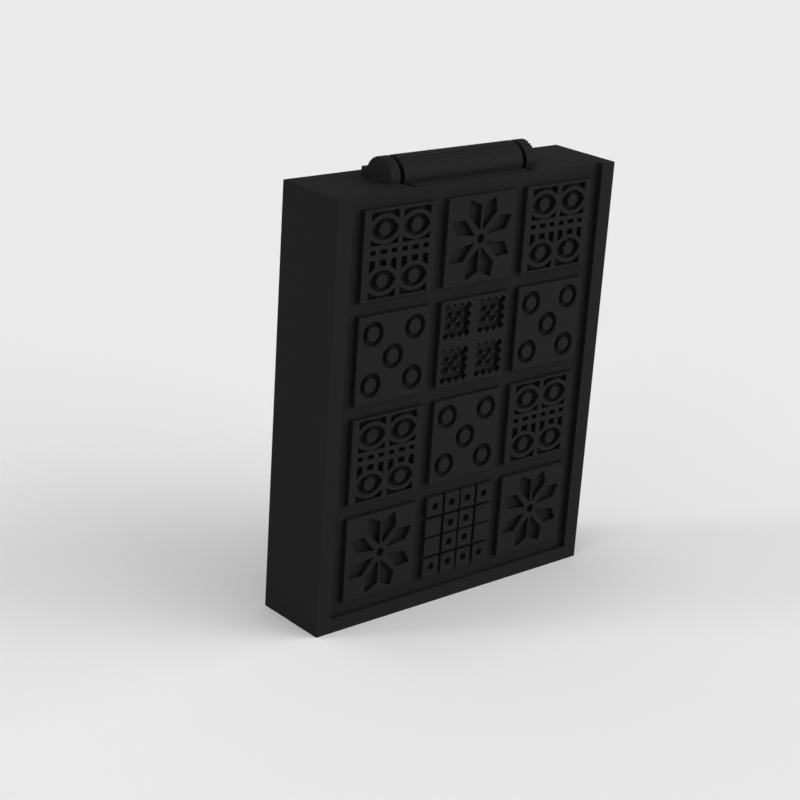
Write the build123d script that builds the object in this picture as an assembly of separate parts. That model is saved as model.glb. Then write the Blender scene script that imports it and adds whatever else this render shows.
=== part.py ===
from build123d import *
import os
from math import asin, cos, sin, sqrt

# Folding board for the royal game of Ur, standing on end and closed.
# Two shallow printed trays, hinged at their head ends, open flat to a board of three by eight places.
# The twenty playing squares are plaques let into the outer faces. The counters and dice lie inside.
# Millimetres. X runs across the board, Z from the foot end up to the hinge; the front half is towards -Y.
# The origin is the middle of the foot end, on the plane where the two halves meet.

# Playing squares
square = 25.0  # side of one playing square
square_gap = 4.0  # sunk channel between two squares, and between a square and the rim
columns = 3
rows = 4  # rows on each half
recess_depth = 1.5  # how far the sunk field lies below the rim and the tops of the squares
let_in = 1.0  # depth of the pocket in the field that holds a square's base
glue_gap = 0.05  # slack around a piece that is glued in its pocket
motif_square = 25.0  # side of the square that the patterns below are drawn for
arc_chords = 6  # flats in each arc of an eye

# Trays
side_rim = 4.8
foot_rim = 4.3
tray_wall = 4.8  # side wall around the storage space
pocket_floor = 1.5  # plastic left between a square's pocket and the storage space
parting_gap = 0.02  # between the closed halves
edge_break = 0.3

# Counters and dice
counters_each = 7
counter_diameter = 15.4
counter_thickness = 4.5
counter_sides = 20  # flats round a counter's edge
counter_spacing = 0.1
dice_count = 4
die_edge = 17.0
die_blunting = 1.2  # height cut from each tip
die_spacing = 1.5
storage_slack = 0.3  # between the contents and the tray floors
seat_gap = 0.05  # under a round counter that stands on its rib
bay_headroom = 2.5  # above the dice
channel_headroom = 1.0  # above the counters
swing_relief = 0.6  # the rear dice bay is this much lower, so the dice swing out freely
divider_thickness = 2.0
divider_clearance = 0.05
divider_setback = 0.1  # from the inner face of the half

# Closing magnets
magnet_diameter = 6.0
magnet_thickness = 2.5
magnet_sides = 20  # flats round its edge
magnet_wall = 1.5  # plastic above and below a magnet
magnet_side = 8.0  # from a magnet's centre to the side of the storage space
magnet_sink = 0.05

# Hinge
barrel_radius = 5.25
barrel_length = 43.1
knuckle_length = 3.3
knuckle_gap = 1.5  # between the barrel and each knuckle
knuckle_end_gap = 0.3  # outside each knuckle, in its scoop
hinge_offset = -1.37  # the hinge sits a little left of the middle
axis_height = 1.25  # of the hinge axis above the head ends
swing_clearance = 0.4  # around a turning barrel or knuckle
leaf_web = 0.75  # plastic left between the leaf's pocket and the sunk field
leaf_seam = 0.3  # in front of the leaf
leaf_slot = 1.0  # at each end of the leaf
foot_reach = 7.4  # depth of a knuckle's foot block, from the parting plane
stop_gap = 0.1  # between a knuckle's foot and the other half when the board lies open
head_web = 3.6  # plastic left between the hinge scoops and the storage space
pin_radius = 1.0
pin_running_gap = 0.06
pin_seat_gap = 0.02
pin_end_wall = 1.0  # closed end of the left knuckle
pin_sink = 0.3  # below the open end of the right knuckle

# Sizes that follow from those above
pitch = square + square_gap
field_width = columns * square + (columns + 1) * square_gap
board_width = field_width + 2 * side_rim
board_length = foot_rim + rows * pitch + square_gap
bridge_width = square + 2 * square_gap
die_height = die_edge * sqrt(2 / 3)
die_depth = die_edge * sqrt(3) / 2
tray_depth = max(counter_diameter, die_depth) / 2 + storage_slack
half_thickness = recess_depth + let_in + pocket_floor + tray_depth
foot_wall = magnet_diameter + 2 * magnet_wall
lower_rib = foot_wall + die_height + bay_headroom
channel_floor = lower_rib + divider_thickness
upper_rib = channel_floor + seat_gap + counter_diameter + channel_headroom
bay_floor = upper_rib + divider_thickness
tray_half_width = board_width / 2 - tray_wall
hinge_z = board_length + axis_height
hinge_sink = barrel_radius - axis_height
scoop_radius = barrel_radius + swing_clearance
head_wall = scoop_radius - axis_height + head_web
leaf_reach = half_thickness - recess_depth - leaf_web - leaf_seam
foot_rise = 2 * axis_height - stop_gap
barrel_x = (hinge_offset - barrel_length / 2, hinge_offset + barrel_length / 2)
left_knuckle_x = (barrel_x[0] - knuckle_gap - knuckle_length, barrel_x[0] - knuckle_gap)
right_knuckle_x = (barrel_x[1] + knuckle_gap, barrel_x[1] + knuckle_gap + knuckle_length)

FRONT, REAR = -1, 1  # which side of the parting plane a half lies on

# What each row shows, from the hinge to the foot. None is a place without a square.
front_layout = [
    ("eyes", "rosette", "eyes"),
    ("dots", "toothed", "dots"),
    ("eyes", "dots", "eyes"),
    ("rosette", "grid", "rosette"),
]
rear_layout = [
    (None, "dots", None),
    (None, "grid", None),
    ("rosette", "eyes", "rosette"),
    ("toothed", "dots", "toothed"),
]


def block(x, y, z):
    """A box between two limits along each axis."""
    low, high = zip(*(sorted(limits) for limits in (x, y, z)))
    size = [b - a for a, b in zip(low, high)]
    return Pos(*low) * Box(*size, align=(Align.MIN, Align.MIN, Align.MIN))


def rod(radius, x):
    """A cylinder along the hinge axis between two places on X."""
    return Pos(x[0], 0, hinge_z) * Rot(0, 90, 0) * Cylinder(
        radius, x[1] - x[0], align=(Align.CENTER, Align.CENTER, Align.MIN)
    )


def polygon(*points):
    return make_face(Polyline(*points, close=True))


def mirrored(shape):
    """The shape and its reflections in both middle lines of the square."""
    pair = shape + mirror(shape, about=Plane.YZ)
    return pair + mirror(pair, about=Plane.XZ)


def span(x, y):
    """A rectangle between two limits along each axis."""
    return Pos(sum(x) / 2, sum(y) / 2) * Rectangle(x[1] - x[0], y[1] - y[0])


# Patterns. Each is the outline of what is cut down to the level of the sunk field.


def rosette_cuts():
    """Eight sunk petals around a small hole."""
    upright_petal = polygon((0.7, 2.5), (0.6, 9.4), (4.5, 11.3), (5.3, 7.2))
    level_petal = polygon((2.2, 1.0), (6.3, 6.0), (11.0, 5.65), (9.1, 1.8))
    hole = RegularPolygon(1.3, 12)
    return mirrored(upright_petal + level_petal) + hole


def dots_cuts():
    """Five rings, one in the middle and four towards the corners."""
    ring = RegularPolygon(3.6, 16) - RegularPolygon(2.05, 10)
    return mirrored(Pos(7.3, 7.25) * ring) + ring


def almond(half_width, half_height, corner_height=0):
    """An upper and a lower arc in chords. They meet in points or, with a corner height, in short sides."""
    rise = half_height - corner_height
    radius = (half_width**2 + rise**2) / (2 * rise)
    reach = asin(half_width / radius)
    turns = [reach * (2 * step / arc_chords - 1) for step in range(arc_chords + 1)]
    upper = [(radius * sin(turn), half_height - radius * (1 - cos(turn))) for turn in turns]
    lower = [(-x, -y) for x, y in upper]
    return polygon(*(upper + lower if corner_height else upper[:-1] + lower[:-1]))


def eyes_cuts():
    """Openwork of four eyes, two above and two below, with a band of small openings between them."""
    cell = (0.8, 10.2)
    middle = sum(cell) / 2
    upper_eye = Pos(middle, 7.3)
    lower_eye = Pos(middle, -7.1)
    lid = almond((cell[1] - cell[0]) / 2, 4.2, corner_height=2.4)
    eye = almond(4.5, 2.9) - RegularPolygon(1.95, 8)
    upper = span(cell, (2.65, 11.95)) - upper_eye * lid + upper_eye * eye
    lower = span(cell, (-11.95, -1.15)) - lower_eye * lid
    for bar in ((2.8, 4.3), (6.7, 8.2)):
        lower = lower - span(bar, (-6.0, 0.0))
    lower = lower + lower_eye * eye
    band = Sketch() + [span(opening, (0.35, 1.72)) for opening in ((0.9, 2.8), (4.3, 6.7), (8.2, 10.1))]
    side = upper + lower + band
    return side + mirror(side, about=Plane.YZ)


def toothed_cuts():
    """Four sunk squares with toothed edges, each around five raised pips."""
    tooth = 1.3  # height of a tooth and half its width
    outline = [(step * tooth, (4 if step % 2 else 3) * tooth) for step in range(-3, 4)]
    for quarter in range(3):
        outline += [(y, -x) for x, y in outline[-7:]]
    pip = RegularPolygon(0.75, 4)
    pips = [pip] + [Pos(x, y) * pip for x in (-1.65, 1.65) for y in (-1.6, 1.6)]
    return mirrored(Pos(6.4, 6.45) * (polygon(*outline) - pips))


def grid_cuts():
    """Lines that part the square into sixteen, with a hole in all but the middle two at each side."""
    lines = Sketch()
    for place, width in ((-6.15, 0.95), (0, 0.6), (6.15, 0.95)):
        upright = Pos(place, 0) * Rectangle(width, motif_square)
        lines = lines + upright + Rot(0, 0, 90) * upright
    hole = RegularPolygon(1.1, 6)
    holes = [Pos(x, y) * hole for x, y in ((3.0, 3.0), (3.0, 9.35), (9.35, 9.35))]
    return lines + mirrored(Sketch() + holes)


cuts = {
    "rosette": rosette_cuts,
    "dots": dots_cuts,
    "eyes": eyes_cuts,
    "toothed": toothed_cuts,
    "grid": grid_cuts,
}


def plaque(pattern):
    """One playing square with its pattern upwards. Z is 0 at the level of the sunk field."""
    body = Pos(0, 0, (recess_depth - let_in) / 2) * Box(square, square, recess_depth + let_in)
    openings = scale(cuts[pattern](), by=square / motif_square)
    return body - extrude(openings, amount=recess_depth)


def square_centre(row, column):
    """Place of a square on X and Z; row 0 is next to the hinge."""
    return (column - (columns - 1) / 2) * pitch, board_length - square_gap - square / 2 - row * pitch


def seated(shape, side, x, z, depth):
    """Turns a shape that lies face up to face out of a half, at a depth below the half's outer face."""
    turn = Rot(90, 0, 0) if side == FRONT else Rot(0, 0, 180) * Rot(90, 0, 0)
    return Pos(x, side * (half_thickness - depth), z) * turn * shape


def layer(side, inner, outer):
    """Limits on Y between two distances from the parting plane."""
    return side * inner, side * outer


def sunk_field(side):
    """The sunk ground of the squares: full width on the front, and a bridge and a block on the rear."""
    depth = layer(side, half_thickness - recess_depth, half_thickness + 1)
    half_field = field_width / 2
    head = board_length + 1
    if side == FRONT:
        return block((-half_field, half_field), depth, (foot_rim, head))
    block_top = foot_rim + 2 * pitch + square_gap
    lower = block((-half_field, half_field), depth, (foot_rim, block_top))
    return lower + block((-bridge_width / 2, bridge_width / 2), depth, (foot_rim, head))


def magnet_places():
    x = tray_half_width - magnet_side
    return [(-x, foot_wall / 2), (x, foot_wall / 2)]


def magnet_disc(side, gap, x, z):
    """A disc below the inner face of a half; with a gap, the pocket that it is glued in."""
    face = parting_gap / 2
    near = face if gap else face + magnet_sink
    far = face + magnet_sink + magnet_thickness
    outline = RegularPolygon(magnet_diameter / 2 + gap, magnet_sides)
    disc = extrude(outline, amount=(far - near) / 2, both=True)
    return Pos(x, side * (near + far) / 2, z) * Rot(90, 0, 0) * disc


def half(side, layout):
    """One tray, with the sunk field outside, the storage space inside and the hinge pockets at its head."""
    face = parting_gap / 2
    half_width = board_width / 2
    body = block((-half_width, half_width), layer(side, face, half_thickness), (0, board_length))
    outer_edges = [edge for edge in body.edges() if abs(edge.center().Y) > face]
    body = chamfer(outer_edges, edge_break)
    body = body - sunk_field(side)
    pocket = Pos(0, 0, -let_in / 2) * Box(square + 2 * glue_gap, square + 2 * glue_gap, let_in)
    for row, patterns in enumerate(layout):
        for column, pattern in enumerate(patterns):
            if pattern:
                x, z = square_centre(row, column)
                body = body - seated(pocket, side, x, z, recess_depth)
    tray_foot = foot_wall if side == FRONT else foot_wall - swing_relief
    tray_x = (-tray_half_width, tray_half_width)
    body = body - block(tray_x, layer(side, 0, tray_depth), (tray_foot, board_length - head_wall))
    for x, z in magnet_places():
        body = body - magnet_disc(side, glue_gap, x, z)
    return body - (front_hinge_cuts() if side == FRONT else rear_hinge_cuts())


def front_hinge_cuts():
    """Pocket for the barrel's leaf, and a scoop for each knuckle to turn in."""
    pocket_x = (barrel_x[0] - leaf_slot, barrel_x[1] + leaf_slot)
    pocket_y = layer(FRONT, 0, leaf_reach + leaf_seam)
    pocket = block(pocket_x, pocket_y, (board_length - hinge_sink, board_length + 1))
    left = rod(scoop_radius, (left_knuckle_x[0] - knuckle_end_gap, barrel_x[0]))
    right = rod(scoop_radius, (barrel_x[1], right_knuckle_x[1] + knuckle_end_gap))
    return pocket + left + right


def rear_hinge_cuts():
    """Pockets for the knuckles' feet, and a scoop between them for the barrel to turn in."""
    cut = rod(scoop_radius, (left_knuckle_x[1] + glue_gap, right_knuckle_x[0] - glue_gap))
    for x in (left_knuckle_x, right_knuckle_x):
        pocket_x = (x[0] - glue_gap, x[1] + glue_gap)
        pocket_y = layer(REAR, 0, foot_reach + glue_gap)
        cut = cut + block(pocket_x, pocket_y, (board_length - hinge_sink, board_length + 1))
    return cut


def hinge_barrel():
    """Long barrel on a leaf that is glued flush into the front half."""
    leaf_y = layer(FRONT, parting_gap / 2, leaf_reach)
    leaf = block(barrel_x, leaf_y, (board_length - hinge_sink, board_length))
    return rod(barrel_radius, barrel_x) + leaf - rod(pin_radius + pin_running_gap, barrel_x)


def knuckle(x, bore_x):
    """Short knuckle on a foot block that is glued into the rear half and stands a little proud of it."""
    foot_y = layer(REAR, parting_gap / 2, foot_reach)
    foot = block(x, foot_y, (board_length - hinge_sink, board_length + foot_rise))
    return rod(barrel_radius, x) + foot - rod(pin_radius + pin_seat_gap, bore_x)


def divider(side):
    """Two ribs across a tray, joined in the middle. Dice lie below them, counters between, spares above."""
    depth = layer(side, parting_gap / 2 + divider_setback, tray_depth)
    reach = tray_half_width - divider_clearance
    lower = block((-reach, reach), depth, (lower_rib, channel_floor))
    upper = block((-reach, reach), depth, (upper_rib, bay_floor))
    middle = block((-divider_thickness / 2, divider_thickness / 2), depth, (channel_floor, upper_rib))
    return lower + upper + middle


def counter(side_of_tray, place):
    """One counter standing on edge in a channel; place 0 is against the side wall."""
    inset = counter_spacing + counter_thickness / 2 + place * (counter_thickness + counter_spacing)
    x = side_of_tray * (tray_half_width - inset)
    z = channel_floor + seat_gap + counter_diameter / 2
    outline = RegularPolygon(counter_diameter / 2, counter_sides)
    disc = extrude(outline, amount=counter_thickness / 2, both=True)
    return Pos(x, 0, z) * Rot(0, 90, 0) * disc


def tetrahedron(edge):
    """A sharp four-faced die about its centre, one face down and a base corner towards +Y."""
    base = RegularPolygon(edge / sqrt(3), 3, rotation=90)
    height = edge * sqrt(2 / 3)
    return Pos(0, 0, -height / 4) * loft([base.face(), Vertex(0, 0, height)], ruled=True)


def die(place):
    """One die standing on the foot wall, its tips cut off by a larger tetrahedron turned over."""
    tip_distance = die_edge * sqrt(6) / 4
    cutter_edge = (tip_distance - die_blunting) * 12 / sqrt(6)
    blunted = tetrahedron(die_edge) & Rot(180, 0, 0) * tetrahedron(cutter_edge)
    x = -tray_half_width + die_spacing + die_edge / 2 + place * (die_edge + die_spacing)
    return Pos(x, -die_depth / 6, foot_wall + die_height / 4) * blunted


def build_nodes():
    """Every separate piece of the set, by name."""
    nodes = {
        "front_half": half(FRONT, front_layout),
        "rear_half": half(REAR, rear_layout),
        "front_divider": divider(FRONT),
        "rear_divider": divider(REAR),
        "hinge_barrel": hinge_barrel(),
        "left_knuckle": knuckle(left_knuckle_x, (left_knuckle_x[0] + pin_end_wall, left_knuckle_x[1])),
        "right_knuckle": knuckle(right_knuckle_x, right_knuckle_x),
        "hinge_pin": rod(pin_radius, (left_knuckle_x[0] + pin_end_wall, right_knuckle_x[1] - pin_sink)),
        "front_magnets": Part() + [magnet_disc(FRONT, 0, x, z) for x, z in magnet_places()],
        "rear_magnets": Part() + [magnet_disc(REAR, 0, x, z) for x, z in magnet_places()],
    }
    plaques = {pattern: plaque(pattern) for pattern in cuts}
    for name, side, layout in (("front", FRONT, front_layout), ("rear", REAR, rear_layout)):
        for row, patterns in enumerate(layout):
            for column, pattern in enumerate(patterns):
                if pattern:
                    x, z = square_centre(row, column)
                    place = ("left", "middle", "right")[column]
                    node = f"{name}_row{row + 1}_{place}_{pattern}"
                    nodes[node] = seated(plaques[pattern], side, x, z, recess_depth)
    for number in range(counters_each):
        nodes[f"light_counter_{number + 1}"] = counter(-1, number)
        nodes[f"dark_counter_{number + 1}"] = counter(1, number)
    for number in range(dice_count):
        nodes[f"die_{number + 1}"] = die(number)
    return nodes


os.makedirs("parts", exist_ok=True)
for name, shape in build_nodes().items():
    export_step(shape, f"parts/{name}.step")
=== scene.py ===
import math

import bmesh
import bpy
from mathutils import Euler, Matrix, Vector


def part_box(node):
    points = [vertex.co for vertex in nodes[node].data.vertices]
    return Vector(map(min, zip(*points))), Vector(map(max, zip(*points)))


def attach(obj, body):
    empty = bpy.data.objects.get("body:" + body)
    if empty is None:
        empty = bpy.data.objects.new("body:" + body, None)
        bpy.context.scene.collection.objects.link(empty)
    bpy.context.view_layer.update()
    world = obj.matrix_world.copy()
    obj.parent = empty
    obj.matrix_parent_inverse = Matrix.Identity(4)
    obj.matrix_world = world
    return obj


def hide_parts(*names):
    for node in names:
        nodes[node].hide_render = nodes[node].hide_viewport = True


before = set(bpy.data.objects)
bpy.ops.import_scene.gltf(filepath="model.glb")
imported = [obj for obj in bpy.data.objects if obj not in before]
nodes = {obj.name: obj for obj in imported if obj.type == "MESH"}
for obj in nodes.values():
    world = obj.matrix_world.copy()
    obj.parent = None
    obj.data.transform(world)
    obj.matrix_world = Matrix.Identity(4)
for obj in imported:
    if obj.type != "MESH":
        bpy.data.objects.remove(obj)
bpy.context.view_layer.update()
bpy.ops.object.select_all(action="DESELECT")

# Trays. The two halves of the box are printed in matte black PLA, in level layers from the foot end up to the
# hinge. On flat walls the layers line up and hardly show. The nozzle's bead leaves every edge a little eased.
mm = 0.001  # in metres, the unit of the frame. A size without it is in millimetres
layer = 0.466  # height of one printed layer
black = ("#161616", "#1A1A1A")  # darkest and lightest shade of the black PLA
clouds_per_metre = 140  # some 7 mm each
grains_per_metre = 2900  # some 0.35 mm each
grain_depth = 0.01 * mm
bead_depth = 0.012 * mm
patchiness = 0.05  # how far the roughness strays from cloud to cloud
tray_ease = 0.1 * mm
sharp = math.radians(30)  # from this turn on, an edge is eased
rounded = math.radians(50)  # up to this turn, faces are shaded as one
flat = math.radians(0.5)  # up to this turn, CAD triangles are merged into one face
cad_chamfer = 0.3  # on the outer edges of the CAD halves, where the photograph shows none
cad_parting = 0.02  # between the CAD halves
parting = 0.002  # between the closed trays. Light would show through a wider seam
slack = 0.01  # in telling whether a place lies on a plane
same_place = 0.002 * mm  # up to this distance, CAD vertices are merged


def linear(hex_colour):
    """An sRGB hex colour as the linear colour that a shader takes."""
    channels = [int(hex_colour[i : i + 2], 16) / 255 for i in (1, 3, 5)]
    return [c / 12.92 if c <= 0.04045 else ((c + 0.055) / 1.055) ** 2.4 for c in channels] + [1.0]


def new_material(name, settings):
    """A new material, with these settings of its shader."""
    material = bpy.data.materials.new(name)
    material.use_nodes = True
    for socket, value in settings.items():
        material.node_tree.nodes["Principled BSDF"].inputs[socket].default_value = value
    return material


def add(material, kind, settings, links):
    """Adds a shader node with its settings, and links its sockets to what feeds them."""
    node = material.node_tree.nodes.new(kind)
    for name, value in settings.items():
        # The colours of a Mix node share their names with its other values, so they go by number.
        if isinstance(name, int) or name in node.inputs:
            node.inputs[name].default_value = value
        else:
            setattr(node, name, value)
    for name, source in links.items():
        material.node_tree.links.new(source, node.inputs[name])
    return node


def printed_pla(name, dark, light, roughness, direction, line):
    """Printed PLA: a dull, even plastic with faint lines, one for each layer or bead that was laid."""
    material = new_material(name, {"IOR": 1.46, "Specular IOR Level": 0.1})
    plastic = material.node_tree.nodes["Principled BSDF"]
    place = add(material, "ShaderNodeTexCoord", {}, {}).outputs["Object"]
    # The pigment is even, but the heat of the nozzle varies a little along the print and leaves faint clouds.
    noise = add(material, "ShaderNodeTexNoise", {"Scale": clouds_per_metre, "Detail": 3}, {"Vector": place})
    cloud = noise.outputs["Fac"]
    tint = add(material, "ShaderNodeMix", {"data_type": "RGBA", 6: linear(dark), 7: linear(light)}, {0: cloud})
    dull = add(
        material,
        "ShaderNodeMapRange",
        {"To Min": roughness - patchiness, "To Max": roughness + patchiness},
        {"Value": cloud},
    )
    # A sine of one period per line, with a slow wobble, stands for the rounded beads. At a scale of 1 it runs
    # through 20 radians per metre along Z, and 14.14 across slanting lines, which cross X and Z at once.
    radians = 20 if direction == "Z" else 14.14
    scale = 2 * math.pi / (radians * line * mm)
    beads = add(
        material,
        "ShaderNodeTexWave",
        {"bands_direction": direction, "Scale": scale, "Distortion": 0.5, "Detail": 1, "Detail Scale": 0.3},
        {"Vector": place},
    )
    # The grain of the filament, some 0.1 mm, is too fine to show and is drawn coarser.
    grain = add(material, "ShaderNodeTexNoise", {"Scale": grains_per_metre, "Detail": 2}, {"Vector": place})
    rough_skin = add(
        material, "ShaderNodeBump", {"Strength": 0.5, "Distance": grain_depth}, {"Height": grain.outputs["Fac"]}
    )
    lined_skin = add(
        material,
        "ShaderNodeBump",
        {"Strength": 1.0, "Distance": bead_depth},
        {"Height": beads.outputs["Fac"], "Normal": rough_skin.outputs["Normal"]},
    )
    material.node_tree.links.new(tint.outputs[2], plastic.inputs["Base Color"])
    material.node_tree.links.new(dull.outputs["Result"], plastic.inputs["Roughness"])
    material.node_tree.links.new(lined_skin.outputs["Normal"], plastic.inputs["Normal"])
    return material


def alone(piece):
    """Selects one piece and makes it active."""
    bpy.ops.object.select_all(action="DESELECT")
    piece.select_set(True)
    bpy.context.view_layer.objects.active = piece


def modify(piece, kind, **settings):
    """Gives a piece a modifier and applies it."""
    alone(piece)
    modifier = piece.modifiers.new(kind, kind)
    for name, value in settings.items():
        setattr(modifier, name, value)
    bpy.ops.object.modifier_apply(modifier=modifier.name)


def ease(piece, width):
    """Bevels the sharp edges of a piece."""
    modify(piece, "BEVEL", width=width, segments=2, limit_method="ANGLE", angle_limit=sharp)


def hand_over(piece, name, body, node, slot, material):
    """Gives a finished piece its name and material, ties it to its body, and hides the CAD node it stands for."""
    alone(piece)
    bpy.ops.object.shade_smooth_by_angle(angle=rounded)
    # Weighted by area, the normals keep the large faces flat right up to their eased edges.
    modify(piece, "WEIGHTED_NORMAL", keep_sharp=True, weight=100)
    piece.name = name
    piece.data.name = name
    piece.data.materials.clear()
    piece.data.materials.append(material)
    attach(piece, body)
    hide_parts(node)


def corners(node):
    """Lowest and highest corner of a CAD node and its middle, in millimetres."""
    low, high = (Vector(corner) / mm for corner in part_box(node))
    return low, high, (low + high) / 2


def sharpened(place, low, high):
    """Where a vertex of a CAD tray goes: out to the sharp outer edge, or nearly onto the parting plane."""
    spot = place / mm
    outer = low.y if -low.y > high.y else high.y
    limits = ((0, low.x), (0, high.x), (1, outer), (2, low.z), (2, high.z))
    near = {axis: limit for axis, limit in limits if abs(spot[axis] - limit) < cad_chamfer + slack}
    # A vertex that is near two or three outer faces belongs to a chamfer.
    if len(near) > 1:
        for axis, limit in near.items():
            spot[axis] = limit
    if abs(spot.y) < cad_parting:
        spot.y *= parting / cad_parting
    return spot * mm


def merged_copy(node, settle=None):
    """A copy of a CAD node, merged into whole faces. A function, if given, says where each vertex goes first."""
    piece = bpy.data.objects.new("copy", nodes[node].data.copy())
    bpy.context.collection.objects.link(piece)
    if settle:
        for vertex in piece.data.vertices:
            vertex.co = settle(vertex.co, *corners(node)[:2])
    alone(piece)
    bpy.ops.mesh.customdata_custom_splitnormals_clear()
    bpy.ops.object.mode_set(mode="EDIT")
    bpy.ops.mesh.select_all(action="SELECT")
    bpy.ops.mesh.remove_doubles(threshold=same_place)
    bpy.ops.mesh.dissolve_limited(angle_limit=flat)
    bpy.ops.object.mode_set(mode="OBJECT")
    return piece


def on_outline(place, low, high):
    """Whether a corner lies on the outline along which the two closed trays meet."""
    x, y, z = place / mm
    within = low.x + slack < x < high.x - slack and low.z + slack < z < high.z - slack
    return abs(y) < slack and not within


black_pla = printed_pla("matte_black_pla", *black, roughness=0.8, direction="Z", line=layer)
for body in ("rear", "front"):
    low, high, middle = corners(f"{body}_half")
    tray = merged_copy(f"{body}_half", sharpened)
    # The outline where the trays meet stays crisp, so that the closed box shows no groove there.
    bpy.ops.object.mode_set(mode="EDIT")
    bpy.ops.mesh.select_mode(type="EDGE")
    bpy.ops.mesh.select_all(action="DESELECT")
    bpy.ops.mesh.edges_select_sharp(sharpness=sharp)
    for edge in bmesh.from_edit_mesh(tray.data).edges:
        if all(on_outline(end.co, low, high) for end in edge.verts):
            edge.select_set(False)
    bpy.ops.mesh.bevel(offset=tray_ease, segments=2, clamp_overlap=True)
    bpy.ops.mesh.select_mode(type="VERT")
    bpy.ops.object.mode_set(mode="OBJECT")
    hand_over(tray, f"{body}_tray", body, f"{body}_half", "black_print", black_pla)

# Dividers. Each tray has two ribs joined by a short one, printed in one piece of the same black PLA and pressed
# in between the side walls. They keep the counters in their channels and the dice at the foot.
for body in ("rear", "front"):
    ribs = merged_copy(f"{body}_divider")
    ease(ribs, tray_ease)
    hand_over(ribs, f"{body}_ribs", body, f"{body}_divider", "black_print", black_pla)

# Magnets. Two nickel-plated discs in each foot wall hold the box shut. They are glued just below the inner
# face. Nickel plate gives them a bright, slightly warm mirror with a soft edge.
magnet_radius = 3.0
magnet_edge = 0.3


def disc(radius, length, sides, centre, turn):
    """A round bar about its centre, turned from upright, with its place in its mesh."""
    bpy.ops.object.select_all(action="DESELECT")
    bpy.ops.mesh.primitive_cylinder_add(vertices=sides, radius=radius, depth=length, location=centre, rotation=turn)
    bpy.ops.object.transform_apply(location=True, rotation=True, scale=True)
    return bpy.context.object


def joined(pieces):
    """Several pieces made one."""
    alone(pieces[0])
    for piece in pieces:
        piece.select_set(True)
    if len(pieces) > 1:
        bpy.ops.object.join()
    return pieces[0]


def to_frame(piece, place=Matrix.Identity(4)):
    """Sets a piece that was modelled in millimetres in its place in the frame, which is in metres."""
    alone(piece)
    piece.matrix_world = Matrix.Scale(mm, 4) @ place @ piece.matrix_world
    bpy.ops.object.transform_apply(location=True, rotation=True, scale=True)


nickel = new_material("nickel_plated_magnet", {"Metallic": 1.0})
plating = nickel.node_tree.nodes["Principled BSDF"]
spot = add(nickel, "ShaderNodeTexCoord", {}, {}).outputs["Object"]
# Finger marks and the rub of other magnets dull the plate in patches of about 2 mm.
rub = add(nickel, "ShaderNodeTexNoise", {"Scale": 1 / (2 * mm), "Detail": 4}, {"Vector": spot}).outputs["Fac"]
shine = add(nickel, "ShaderNodeMapRange", {"To Min": 0.12, "To Max": 0.3}, {"Value": rub}).outputs["Result"]
plate = add(nickel, "ShaderNodeMix", {"data_type": "RGBA", 6: linear("#C4C0B8"), 7: linear("#D6D3CC")}, {0: rub})
nickel.node_tree.links.new(shine, plating.inputs["Roughness"])
nickel.node_tree.links.new(plate.outputs[2], plating.inputs["Base Color"])
for body in ("rear", "front"):
    low, high, middle = corners(f"{body}_magnets")
    pair = []
    for x in (low.x + magnet_radius, high.x - magnet_radius):
        pair.append(disc(magnet_radius, high.y - low.y, 64, (x, middle.y, middle.z), (math.pi / 2, 0, 0)))
        ease(pair[-1], magnet_edge)
    magnets = joined(pair)
    to_frame(magnets)
    hand_over(magnets, f"{body}_magnet_pair", body, f"{body}_magnets", "plated_magnet", nickel)

# Playing squares. Twenty plaques of the same black PLA, each printed face up and glued into its pocket. Their
# old patterns are sunk 1.5 mm, down to the level of the ground around them, with crisp upright walls.
square = 25.0
relief = 1.5
base = 1.0  # part of a square that is let into the tray
square_ease = 0.12
bead = 0.45  # width of the slanting lines that the nozzle leaves on a face


def twin(piece):
    """A copy of a piece with its own mesh."""
    other = piece.copy()
    other.data = piece.data.copy()
    bpy.context.collection.objects.link(other)
    return other


def block(low, high):
    """A box between two corners."""
    bpy.ops.object.select_all(action="DESELECT")
    centre = [(a + b) / 2 for a, b in zip(low, high)]
    bpy.ops.mesh.primitive_cube_add(size=1, location=centre)
    box = bpy.context.object
    box.scale = [b - a for a, b in zip(low, high)]
    bpy.ops.object.transform_apply(location=True, rotation=True, scale=True)
    return box


def prism(outline, height):
    """A flat many-cornered face, laid on an outline and extruded upwards."""
    bpy.ops.object.select_all(action="DESELECT")
    bpy.ops.mesh.primitive_circle_add(vertices=len(outline), radius=1, fill_type="NGON")
    piece = bpy.context.object
    for vertex, (x, y) in zip(piece.data.vertices, outline):
        vertex.co = (x, y, 0)
    bpy.ops.object.mode_set(mode="EDIT")
    bpy.ops.mesh.select_all(action="SELECT")
    bpy.ops.mesh.extrude_region_move(TRANSFORM_OT_translate={"value": (0, 0, height)})
    bpy.ops.mesh.select_all(action="SELECT")
    bpy.ops.mesh.normals_make_consistent(inside=False)
    bpy.ops.object.mode_set(mode="OBJECT")
    return piece


def trim(piece, tool, operation):
    """Cuts a tool from a piece, adds it, or keeps what both share, and takes the tool away."""
    modify(piece, "BOOLEAN", object=tool, operation=operation, solver="EXACT")
    bpy.data.objects.remove(tool)
    return piece


def sunk(x, y):
    """A cutter between two limits each way, from the ground up through the face."""
    return block((x[0], y[0], 0), (x[1], y[1], 2 * relief))


def sunk_round(radius, x, y):
    """A round cutter, from the ground up through the face."""
    return disc(radius, 2 * relief, 64, (x, y, relief), (0, 0, 0))


def pointed(half_width, half_height, x, y):
    """A cutter bounded by two arcs that meet in points, or that would meet beyond the given width."""
    radius = (half_width**2 + half_height**2) / (2 * half_height)
    upper = sunk_round(radius, x, y + half_height - radius)
    return trim(upper, sunk_round(radius, x, y - half_height + radius), "INTERSECT")


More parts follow.
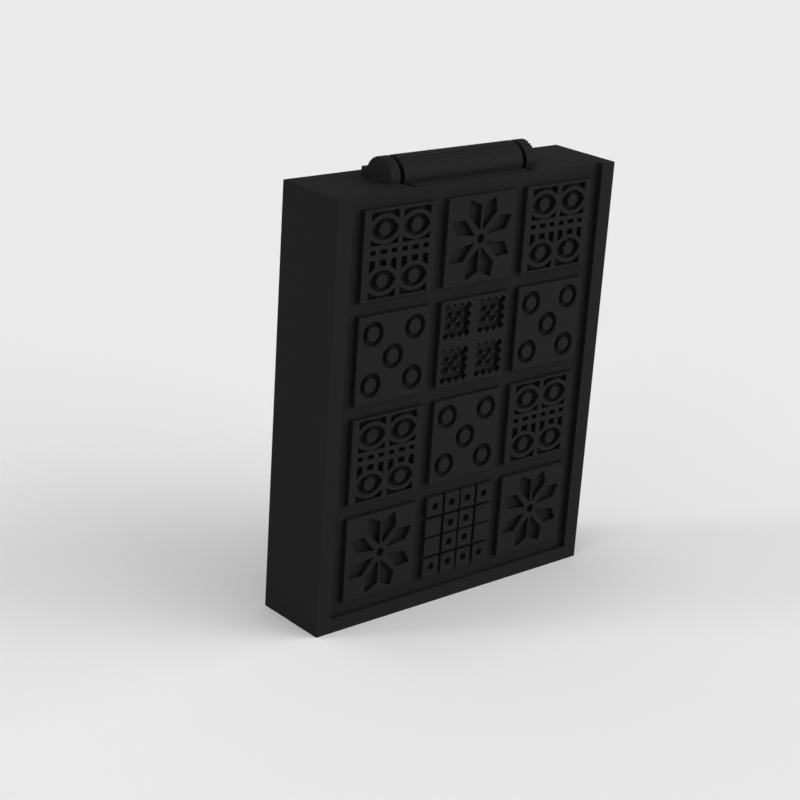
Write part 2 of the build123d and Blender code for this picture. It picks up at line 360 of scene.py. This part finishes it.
def rosette_cutters():
    """Eight petals around a hole, each a four-cornered prism."""
    upright = ((0.45, 2.4), (0.35, 9.45), (4.6, 11.4), (5.4, 7.1))
    level = ((2.2, 1.0), (6.3, 6.0), (11.0, 5.65), (9.1, 1.8))
    hole_radius = 1.28
    sides = [(a, b) for a in (-1, 1) for b in (-1, 1)]
    petals = [prism([(a * x, b * y) for x, y in petal], 2 * relief) for petal in (upright, level) for a, b in sides]
    return [joined(petals + [sunk_round(hole_radius, 0, 0)])]


def rings_cutters():
    """Five rings: round bars with their cores left standing."""
    ring_radius, core_radius = 3.58, 2.02
    places = [(0, 0)] + [(x, y) for x in (-7.3, 7.3) for y in (-7.25, 7.25)]
    rings = [trim(sunk_round(ring_radius, x, y), sunk_round(core_radius, x, y), "DIFFERENCE") for x, y in places]
    return [joined(rings)]


def eyes_cutters():
    """Four eyes in raised lids, the ground around them, and a band of small openings between."""
    lid = (6.44, 4.12)  # half width and half height of its two arcs
    white = (4.68, 2.98)
    iris_radius = 1.83
    ground = 4.7  # half width of the ground around an eye
    post = 0.75  # half width of the posts that stand in the lower ground
    band = (0.13, 1.42)
    tools = []
    for middle in (-5.5, 5.5):
        for eye, reach in ((6.95, (2.65, 11.85)), (-7.17, (-11.95, -1.35))):
            around = trim(sunk((middle - ground, middle + ground), reach), pointed(*lid, middle, eye), "DIFFERENCE")
            if eye < 0:
                for x in (middle - 1.95, middle + 1.95):
                    trim(around, block((x - post, -6.0, -1), (x + post, 0.0, 3 * relief)), "DIFFERENCE")
            inner = trim(pointed(*white, middle, eye), sunk_round(iris_radius, middle, eye), "DIFFERENCE")
            tools += [around, inner]
        for low, high in ((-4.6, -2.7), (-1.2, 1.2), (2.7, 4.6)):
            tools.append(sunk((middle + low, middle + high), band))
    return [joined(tools)]


def toothed_cutters():
    """Four hollows with a border of teeth, each around five standing pips."""
    tooth = 1.3
    pip_reach = 0.75
    beyond = 0.5  # how far a pip's cutter passes the hollow above and below
    outline = [(step * tooth, (4 if step % 2 else 3) * tooth) for step in range(-3, 4)]
    for quarter in range(3):
        outline += [(y, -x) for x, y in outline[-7:]]
    hollows = []
    for x, y in ((-6.4, -6.45), (-6.4, 6.45), (6.4, -6.45), (6.4, 6.45)):
        hollow = prism([(x + u, y + v) for u, v in outline], 2 * relief)
        for u, v in [(0, 0)] + [(a, b) for a in (-1.65, 1.65) for b in (-1.6, 1.6)]:
            right, left = (x + u + pip_reach, y + v), (x + u - pip_reach, y + v)
            upper, lower = (x + u, y + v + pip_reach), (x + u, y + v - pip_reach)
            pip = prism([right, upper, left, lower], 2 * (relief + beyond))
            pip.location.z = -beyond
            trim(hollow, pip, "DIFFERENCE")
        hollows.append(hollow)
    return [joined(hollows)]


def grid_cutters():
    """Lines both ways, and a small hole in twelve of the sixteen fields."""
    lines = ((-6.15, 0.95), (0, 0.6), (6.15, 0.95))  # each with its width
    hole_radius = 1.1
    reach = (-square, square)
    upright = joined([sunk((x - width / 2, x + width / 2), reach) for x, width in lines])
    level = joined([sunk(reach, (y - width / 2, y + width / 2)) for y, width in lines])
    places = [(a * x, b * y) for x, y in ((3, 3), (3, 9.35), (9.35, 9.35)) for a in (-1, 1) for b in (-1, 1)]
    return [upright, level, joined([sunk_round(hole_radius, x, y) for x, y in places])]


face_up_pla = printed_pla("matte_black_pla_face_up", *black, roughness=0.8, direction="DIAGONAL", line=bead)
designs = {
    "rosette": rosette_cutters,
    "dots": rings_cutters,
    "eyes": eyes_cutters,
    "toothed": toothed_cutters,
    "grid": grid_cutters,
}
half = square / 2
for design, cutters in designs.items():
    plaque = block((-half, -half, -base), (half, half, relief))
    for cutter in cutters():
        trim(plaque, cutter, "DIFFERENCE")
    ease(plaque, square_ease)
    for node in sorted(name for name in nodes if name.endswith(design)):
        body = node.split("_")[0]
        low, high, middle = corners(node)
        ground, facing = (low.y + relief, 0) if body == "front" else (high.y - relief, math.pi)
        turn = Euler((math.pi / 2, 0, facing)).to_matrix().to_4x4()
        piece = twin(plaque)
        to_frame(piece, Matrix.Translation((middle.x, ground, middle.z)) @ turn)
        hand_over(piece, f"{node}_square", body, node, "black_print", face_up_pla)
    bpy.data.objects.remove(plaque)

# Hinge. A long barrel on a flat leaf turns between two short knuckles on foot blocks, all printed upright in the
# black PLA. On the round parts the level layers show as fine steps that run along the hinge.
barrel_radius = 5.25
hinge_height = 125.55  # of the axis above the foot end
head_end = 124.3  # height of the trays' upper ends, which the leaf is flush with
block_top = 126.7  # height of the tops of the knuckles' foot blocks
bore_radius = 1.04
bore_stop = 1.0  # what closes the bore of the left knuckle at its outer end
bore_excess = 1.0  # how far the cutter of a bore passes an open end
short_below, short_above = 0.04, 0.08  # how far the lowest and the highest step stop short of the round
bead_blunting = 0.13  # of the corner of each step, at most
blunted_share = 0.7  # of a narrow step, at most
least_blunting = 0.01
foot_ease = 0.1
leaf_play = 0.5  # by which the leaf stands back from its CAD outline in front and at its ends


def stepped_round(radius):
    """Outline of a round bar that is laid in level layers, with the blunted corners of its steps on the round."""
    first = math.ceil((hinge_height - radius) / layer)
    last = math.floor((hinge_height + radius) / layer)
    heights = [step * layer - hinge_height for step in range(first, last + 1)]
    heights = [-radius + short_below] + heights + [radius - short_above]
    widths = [math.sqrt(radius**2 - max(low**2, high**2)) for low, high in zip(heights, heights[1:])]
    side = []
    for number, (low, high, width) in enumerate(zip(heights, heights[1:], widths)):
        # A step's free corner is its upper one above the axis, and its lower one below.
        upper = high > -low
        beyond = number + 1 if upper else number - 1
        tread = width - widths[beyond] if 0 <= beyond < len(widths) else width
        blunt = min(bead_blunting, max(blunted_share * tread, least_blunting))
        if upper:
            side += [(width, low), (width, high - blunt), (width - blunt, high)]
        else:
            side += [(width - blunt, low), (width, low + blunt), (width, high)]
    return side + [(-y, z) for y, z in reversed(side)]


def stepped_bar(start, end):
    """A round bar along the hinge axis, with printed steps."""
    bar = prism(stepped_round(barrel_radius), end - start)
    alone(bar)
    bar.rotation_euler = (math.pi / 2, 0, math.pi / 2)
    bar.location = (start, 0, hinge_height)
    bpy.ops.object.transform_apply(location=True, rotation=True, scale=True)
    return bar


def hinge_part(node, foot_low, foot_high, play):
    """A stepped bar as long as the node, joined to its leaf or foot block and bored for the pin."""
    low, high, middle = corners(node)
    bar = stepped_bar(low.x, high.x)
    foot = block((low.x + play, *foot_low), (high.x - play, *foot_high))
    ease(foot, foot_ease)
    trim(bar, foot, "UNION")
    start = low.x + bore_stop if node == "left_knuckle" else low.x - bore_excess
    end = high.x + bore_excess
    bore = disc(bore_radius, end - start, 32, ((start + end) / 2, 0, hinge_height), (0, math.pi / 2, 0))
    trim(bar, bore, "DIFFERENCE")
    to_frame(bar)
    return bar


# The short layers of the hinge print slowly and come out a little smoother than the flat walls.
hinge_pla = printed_pla("matte_black_pla_slow_layers", *black, roughness=0.64, direction="Z", line=layer)
low, high, middle = corners("hinge_barrel")
barrel = hinge_part("hinge_barrel", (low.y + leaf_play, low.z), (-cad_parting / 2, head_end), leaf_play)
hand_over(barrel, "stepped_barrel", "front", "hinge_barrel", "black_print", hinge_pla)
for node in ("left_knuckle", "right_knuckle"):
    low, high, middle = corners(node)
    knuckle = hinge_part(node, (cad_parting / 2, low.z), (high.y, block_top), 0)
    hand_over(knuckle, f"stepped_{node}", "rear", node, "black_print", hinge_pla)

# Hinge pin. A length of 2 mm drawn steel wire, cut square and slightly chamfered, driven in from the right. It
# shows only in the gaps beside the barrel, as a bright grey line drawn lengthwise.
pin_edge = 0.2
steel = new_material("drawn_steel_wire", {"Metallic": 1.0})
bright = steel.node_tree.nodes["Principled BSDF"]
spot = add(steel, "ShaderNodeTexCoord", {}, {}).outputs["Object"]
# The die leaves scores along X some 0.05 mm apart, drawn here at 0.15 mm and 8 mm long.
scores_per_metre = (125, 6600, 6600)
along = add(steel, "ShaderNodeMapping", {"Scale": scores_per_metre}, {"Vector": spot}).outputs["Vector"]
scores = add(steel, "ShaderNodeTexNoise", {"Scale": 1, "Detail": 3}, {"Vector": along}).outputs["Fac"]
drawn = add(steel, "ShaderNodeMix", {"data_type": "RGBA", 6: linear("#A3A4A6"), 7: linear("#C3C4C6")}, {0: scores})
rough = add(steel, "ShaderNodeMapRange", {"To Min": 0.22, "To Max": 0.42}, {"Value": scores}).outputs["Result"]
steel.node_tree.links.new(drawn.outputs[2], bright.inputs["Base Color"])
steel.node_tree.links.new(rough, bright.inputs["Roughness"])
low, high, middle = corners("hinge_pin")
wire = disc((high.z - low.z) / 2, high.x - low.x, 48, middle, (0, math.pi / 2, 0))
ease(wire, pin_edge)
to_frame(wire)
hand_over(wire, "steel_wire_pin", "rear", "hinge_pin", "steel_pin", steel)

# Counters. Seven light and seven dark discs, printed in natural and in black PLA. Each has an eased rim and five
# small dimples on both faces, like the counters found with the old boards.
counter_radius = 7.7
counter_edge = 0.45
dimple_radius = 1.3
dimple_depth = 0.45
dimple_ring = 4.1  # how far the outer dimples lie from the middle
counter_roll = 23  # degrees by which each counter is rolled further than the one before

natural_pla = printed_pla("natural_pla", "#DDD2B8", "#E6DCC4", roughness=0.55, direction="DIAGONAL", line=bead)
low, high, middle = corners("light_counter_1")
thickness = high.x - low.x
counter = disc(counter_radius, thickness, 96, (0, 0, 0), (0, 0, 0))
ease(counter, counter_edge)
angles = [math.radians(a) for a in (45, 135, 225, 315)]
places = [(0, 0)] + [(dimple_ring * math.cos(a), dimple_ring * math.sin(a)) for a in angles]
dimples = []
for side in (-1, 1):
    height = side * (thickness / 2 + dimple_radius - dimple_depth)
    for x, y in places:
        bpy.ops.object.select_all(action="DESELECT")
        bpy.ops.mesh.primitive_uv_sphere_add(segments=24, ring_count=16, radius=dimple_radius, location=(x, y, height))
        bpy.ops.object.transform_apply(location=True, rotation=True, scale=True)
        dimples.append(bpy.context.object)
trim(counter, joined(dimples), "DIFFERENCE")
prints = {"light": ("natural_print", natural_pla), "dark": ("black_print", face_up_pla)}
for node in sorted(name for name in nodes if "counter" in name):
    shade, number = node.split("_")[0], int(node[-1])
    # A counter stands on edge, its axis along X.
    turn = Matrix.Rotation(math.pi / 2, 4, "Y") @ Matrix.Rotation(math.radians(counter_roll * number), 4, "Z")
    piece = twin(counter)
    to_frame(piece, Matrix.Translation(corners(node)[2]) @ turn)
    hand_over(piece, f"{node}_disc", "front", node, *prints[shade])
bpy.data.objects.remove(counter)

# Dice. Four dice with four faces each, printed in natural PLA, with blunt tips. Two of a die's four tips are
# dipped in black paint: a throw counts how many marked tips point up.
die_edge = 17.0
die_blunting = 1.2
die_ease = 0.45
die_dip = 3.6  # how far a marked tip is dipped, from where its edges would meet

black_paint = new_material("satin_black_paint", {})
gloss_coat = black_paint.node_tree.nodes["Principled BSDF"]
spot = add(black_paint, "ShaderNodeTexCoord", {}, {}).outputs["Object"]
# Dipped paint pulls thin at the rim and pools at the tip, in waves of about 1 mm.
pool = add(black_paint, "ShaderNodeTexNoise", {"Scale": 1 / mm, "Detail": 2}, {"Vector": spot}).outputs["Fac"]
gloss = add(black_paint, "ShaderNodeMapRange", {"To Min": 0.3, "To Max": 0.42}, {"Value": pool}).outputs["Result"]
coat = add(black_paint, "ShaderNodeMix", {"data_type": "RGBA", 6: linear("#151515"), 7: linear("#202020")}, {0: pool})
black_paint.node_tree.links.new(gloss, gloss_coat.inputs["Roughness"])
black_paint.node_tree.links.new(coat.outputs[2], gloss_coat.inputs["Base Color"])
die_height = die_edge * math.sqrt(2 / 3)
face_radius = die_edge / math.sqrt(3)  # from the middle of a face to its corners
tip_distance = die_edge * math.sqrt(6) / 4  # from the middle of the die
bpy.ops.object.select_all(action="DESELECT")
bpy.ops.mesh.primitive_cone_add(
    vertices=3, radius1=face_radius, radius2=0, depth=die_height, location=(0, 0, die_height / 4)
)
bpy.ops.object.transform_apply(location=True, rotation=True, scale=True)
die = bpy.context.object
tips = [vertex.co.normalized() for vertex in die.data.vertices]
marked_tips = tips[:2]
bpy.ops.object.mode_set(mode="EDIT")
for tip in tips:
    bpy.ops.mesh.select_all(action="SELECT")
    bpy.ops.mesh.bisect(plane_co=tip * (tip_distance - die_blunting), plane_no=tip, use_fill=True, clear_outer=True)
bpy.ops.object.mode_set(mode="OBJECT")
ease(die, die_ease)
bpy.ops.object.mode_set(mode="EDIT")
for tip in marked_tips:
    bpy.ops.mesh.select_all(action="SELECT")
    bpy.ops.mesh.bisect(plane_co=tip * (tip_distance - die_dip), plane_no=tip)
bpy.ops.object.mode_set(mode="OBJECT")
for node in sorted(name for name in nodes if name.startswith("die_")):
    low, high, middle = corners(node)
    centre = Vector((middle.x, low.y + face_radius / 2, low.z + die_height / 4))
    piece = twin(die)
    to_frame(piece, Matrix.Translation(centre))
    hand_over(piece, f"{node}_blunted", "front", node, "natural_print", natural_pla)
    piece.data.materials.append(black_paint)
    for face in piece.data.polygons:
        if any((face.center / mm - centre).dot(tip) > tip_distance - die_dip for tip in marked_tips):
            face.material_index = 1
bpy.data.objects.remove(die)

# Setting. The box stands on a plain pale floor in soft studio light: an even white surround, two broad lamps low
# in front and on the right, a third on the left, and two smaller lamps behind, one of them almost overhead.
floor_size = 20  # metres, so that its edges are far off
surround_strength = 0.394

bpy.ops.object.select_all(action="DESELECT")
bpy.ops.mesh.primitive_plane_add(size=floor_size)
floor = bpy.context.object
floor.name = "floor"
paper = new_material("pale_floor", {"Base Color": linear("#EBEBEB"), "Roughness": 1.0, "Specular IOR Level": 0.0})
floor.data.materials.append(paper)

surround = bpy.data.worlds.new("studio_surround")
surround.use_nodes = True
surround.node_tree.nodes["Background"].inputs["Color"].default_value = (1, 1, 1, 1)
surround.node_tree.nodes["Background"].inputs["Strength"].default_value = surround_strength
bpy.context.scene.world = surround

# Each lamp: its direction from +X, its height and its spread, all in degrees, and its strength.
lamps = (
    (-57.5, 25, 60, 1.33),
    (-27.5, 12, 60, 1.98),
    (182.5, 25, 60, 0.91),
    (152.5, 30, 14, 0.52),
    (122.5, 75, 14, 0.22),
)
for direction, height, spread, strength in lamps:
    bpy.ops.object.light_add(type="SUN", rotation=(math.radians(90 - height), 0, math.radians(direction + 90)))
    lamp = bpy.context.object
    lamp.data.angle = math.radians(spread)
    lamp.data.energy = strength

# Camera. It looks down a little on the front and the left side, from the place that the seven corners of the
# box in the photograph give.
eye = Vector((-344.2, -375.1, 241.4)) * mm
azimuth, elevation, roll = (math.radians(angle) for angle in (-41.281, 20.004, 3.849))
bpy.ops.object.camera_add()
camera = bpy.context.object
look = Euler((math.pi / 2 - elevation, 0, azimuth)).to_matrix() @ Matrix.Rotation(roll, 3, "Z")
camera.matrix_world = Matrix.Translation(eye) @ look.to_4x4()
camera.data.sensor_width = 36
camera.data.lens = 84.87
camera.data.clip_start = 10 * mm
bpy.context.scene.camera = camera
bpy.context.scene.view_settings.view_transform = "Standard"
